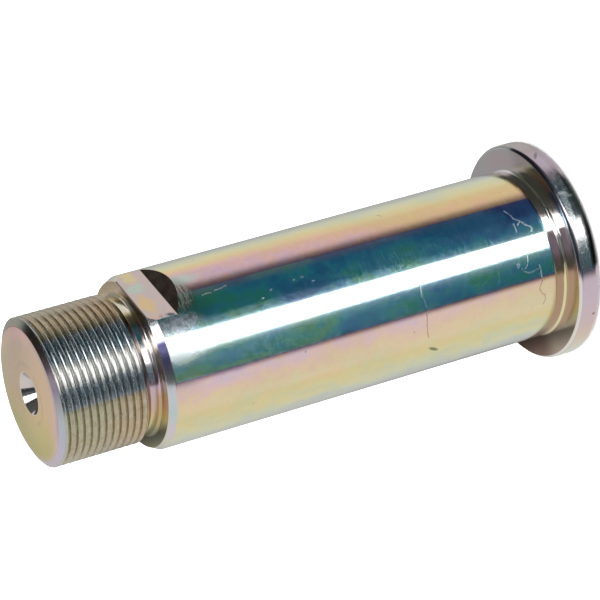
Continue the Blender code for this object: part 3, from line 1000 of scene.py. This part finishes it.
def studio():
    """What the plating mirrors: a white table and sweep, a dark room above and
    behind the camera, and one long white softbox between. What lights the floor
    is plain white from all round."""
    world = bpy.data.worlds.new("studio")
    bpy.context.scene.world = world
    world.use_nodes = True
    world.cycles.sampling_method = "NONE"
    tree = world.node_tree
    tree.nodes.clear()
    g = Graph(tree)
    way = g.node("ShaderNodeTexCoord").outputs["Generated"]
    parts = g.node("ShaderNodeSeparateXYZ")
    g.put(parts.inputs[0], way)
    x, y, z = parts.outputs
    turn = math.radians(FRONT)
    front = g.add(g.mul(x, math.cos(turn)), g.mul(y, math.sin(turn)))
    side = g.sub(g.mul(y, math.cos(turn)), g.mul(x, math.sin(turn)))
    a = g.mul(g.math("ARCTAN2", side, front), 180 / math.pi)
    e = g.mul(g.math("ARCSINE", z), 180 / math.pi)

    # the sweep's edge climbs towards the table's far edge
    edge = g.add(82.5, g.mul(g.add(e, 24.0), 0.7))
    edge = g.add(edge, g.mul(g.math("MAXIMUM", g.add(e, 21.0), 0.0), 0.55))
    edge = g.math("MINIMUM", g.math("MAXIMUM", edge, 72.0), 138.0)
    far_side = g.mul(g.smooth(a, g.sub(edge, 7.0), g.add(edge, 7.0)), g.smooth(e, 29.5, 35.0, 1.0, 0.0))
    near_side = g.mul(g.smooth(a, -47.0, -39.0, 1.0, 0.0), g.smooth(e, 67.0, 70.5, 1.0, 0.0))
    table = g.math("MAXIMUM", near_side, far_side)
    table_light = g.math("MINIMUM", g.smooth(a, 126.0, 176.0, 0.92, 0.42), g.smooth(a, -172.0, -128.0, 0.74, 0.92))
    table_light = g.math("MINIMUM", table_light, g.smooth(a, -180.0, -165.0, 0.42, 0.92))

    low_edge = g.add(
        g.math("MINIMUM", g.sub(-8.0, g.mul(g.add(e, 19.0), 0.489)), -3.0),
        g.smooth(e, -19.0, 34.0, 0.0, 52.0),
    )
    low_edge = g.math("MAXIMUM", low_edge, -9.5)
    on_body = g.smooth(e, -21.45, -21.15, 1.0, 0.0)
    low_edge = g.add(low_edge, g.mul(on_body, 1.4))
    high_edge = g.add(20.0, g.smooth(e, -5.0, 45.0, 0.0, 24.0))
    high_edge = g.add(high_edge, g.mul(g.between(e, -21.75, -20.9, 0.5), 11.0))
    high_edge = g.sub(high_edge, g.mul(on_body, 2.1))
    box = g.mul(g.between(a, low_edge, high_edge, 3.0), g.between(e, -31.0, 35.5, 2.5))
    # a second lamp higher up, seen in the centre hole and the fillet under the head
    box = g.math("MAXIMUM", box, g.mul(g.between(a, 9.0, 49.0, 8.0), g.between(e, 37.8, 45.0, 1.0)))
    box = g.math("MAXIMUM", box, g.mul(g.between(a, 24.0, 54.0, 6.0), g.between(e, 63.0, 78.0, 2.0)))
    # the head's rim sees the softbox with a dimmer side
    rim_box = g.mul(g.between(a, 12.0, 47.0, 8.0), g.smooth(e, -29.1, -28.95, 1.0, 0.0))
    rim_haze = g.mul(g.between(a, 46.0, 84.0, 12.0), g.smooth(e, -29.0, -28.85, 1.0, 0.0))

    dark = g.mix(g.smooth(e, -22.0, -16.0), (0.022, 0.130, 0.155), (0.040, 0.052, 0.062))
    dark = g.mix(g.smooth(e, -33.0, -31.0, 1.0, 0.0), dark, (0.012, 0.016, 0.018))
    glow = g.curve(
        a, (-50, 0.0), (-30, 0.09), (-20, 0.22), (-11, 0.7), (-8, 1.0), (17, 0.8), (20, 0.30), (25, 0.10), (31, 0.04), (41, 0.0), (60, 0.0)
    )
    glow = g.mul(glow, g.smooth(e, 0.0, 10.0, 1.0, 0.6))
    dark = g.mix(g.mul(glow, g.smooth(e, -33.0, -31.0)), dark, (0.19, 0.20, 0.22), "ADD")
    dark = g.mix(g.smooth(a, 60.0, 71.0), dark, (0.125, 0.125, 0.130))
    dark = g.mix(g.mul(rim_haze, 0.8), dark, (0.27, 0.26, 0.28))
    dark = g.mix(g.mul(rim_box, 0.85), dark, (0.46, 0.47, 0.49))
    dark = g.mix(g.mul(g.smooth(a, 100.0, 130.0), g.smooth(e, 34.0, 41.0)), dark, (0.05, 0.045, 0.04))
    dark = g.mix(g.smooth(a, -35.0, -39.5, 0.0, 0.8), dark, (0.080, 0.060, 0.075))
    # what the undercut and the shoulder see just below the softbox
    by_floor = g.mul(g.between(a, -42.0, -5.0, 8.0), g.between(e, -20.95, -20.57, 0.06))
    dark = g.mix(by_floor, dark, (2.9, 2.85, 2.95))
    dark = g.mix(g.mul(g.between(a, -44.0, -22.0, 10.0), g.between(e, 18.0, 22.0, 1.5)), dark, (0.30, 0.30, 0.27))
    by_seat = g.between(e, 23.0, 30.6, 2.5)
    haze = g.mix(g.smooth(a, -32.0, -12.0), (0.17, 0.19, 0.16), (0.38, 0.29, 0.34))
    dark = g.mix(g.mul(by_seat, g.between(a, -45.0, 20.0, 8.0)), dark, haze)
    above = g.mul(by_seat, g.between(a, 34.0, 90.0, 14.0))
    dark = g.mix(g.mul(above, 0.8), dark, g.mix(g.smooth(a, 58.0, 72.0), (0.22, 0.22, 0.21), (0.085, 0.105, 0.095)))
    dark = g.mix(g.smooth(e, 58.0, 70.0), dark, (0.19, 0.18, 0.19))
    pole = g.mul(g.smooth(e, 50.0, 66.0), g.smooth(a, 40.0, -20.0))
    dark = g.mix(pole, dark, (0.36, 0.36, 0.36))
    white = g.node("ShaderNodeCombineXYZ")
    for socket in white.inputs:
        g.put(socket, table_light)
    seen = g.mix(table, dark, white.outputs[0])
    strength = g.add(g.smooth(e, -22.2, -20.3, 6.5, 1.6), g.smooth(e, 4.0, 16.0, 0.0, 4.4))
    strength = g.sub(strength, g.smooth(e, -28.2, -27.5, 4.1, 0.0))
    seen = g.mix(box, seen, g.vector(strength, strength, strength))

    glossy = g.node("ShaderNodeBackground")
    g.put(glossy.inputs["Color"], seen)
    plain = g.node("ShaderNodeBackground")
    plain.inputs["Color"].default_value = (1.0, 1.0, 1.0, 1.0)
    plain.inputs["Strength"].default_value = 2.3
    rays = g.node("ShaderNodeLightPath")
    chosen = g.node("ShaderNodeMixShader")
    g.put(chosen.inputs[0], rays.outputs["Is Glossy Ray"])
    tree.links.new(plain.outputs[0], chosen.inputs[1])
    tree.links.new(glossy.outputs[0], chosen.inputs[2])
    out = g.node("ShaderNodeOutputWorld")
    tree.links.new(chosen.outputs[0], out.inputs["Surface"])


studio()

# The photograph's viewing angle. The axle lies across the picture there, so the
# camera is rolled to see the standing axle the same way.
camera = bpy.data.objects.new("camera", bpy.data.cameras.new("camera"))
bpy.context.scene.collection.objects.link(camera)
right = Vector((-0.47355536, -0.02857732, -0.88030032))
up = Vector((0.51505453, -0.81974892, -0.25046066))
back = right.cross(up)
camera.matrix_world = Matrix(
    (
        (right.x, up.x, back.x, -0.42964884),
        (right.y, up.y, back.y, -0.34792277),
        (right.z, up.z, back.z, 0.29908783),
        (0, 0, 0, 1),
    )
)
camera.data.lens = 182.13
camera.data.sensor_width = 36.0
camera.data.clip_start = 0.01
camera.data.clip_end = 50.0
bpy.context.scene.camera = camera
bpy.context.scene.view_settings.view_transform = "Standard"
bpy.context.scene.view_settings.look = "None"
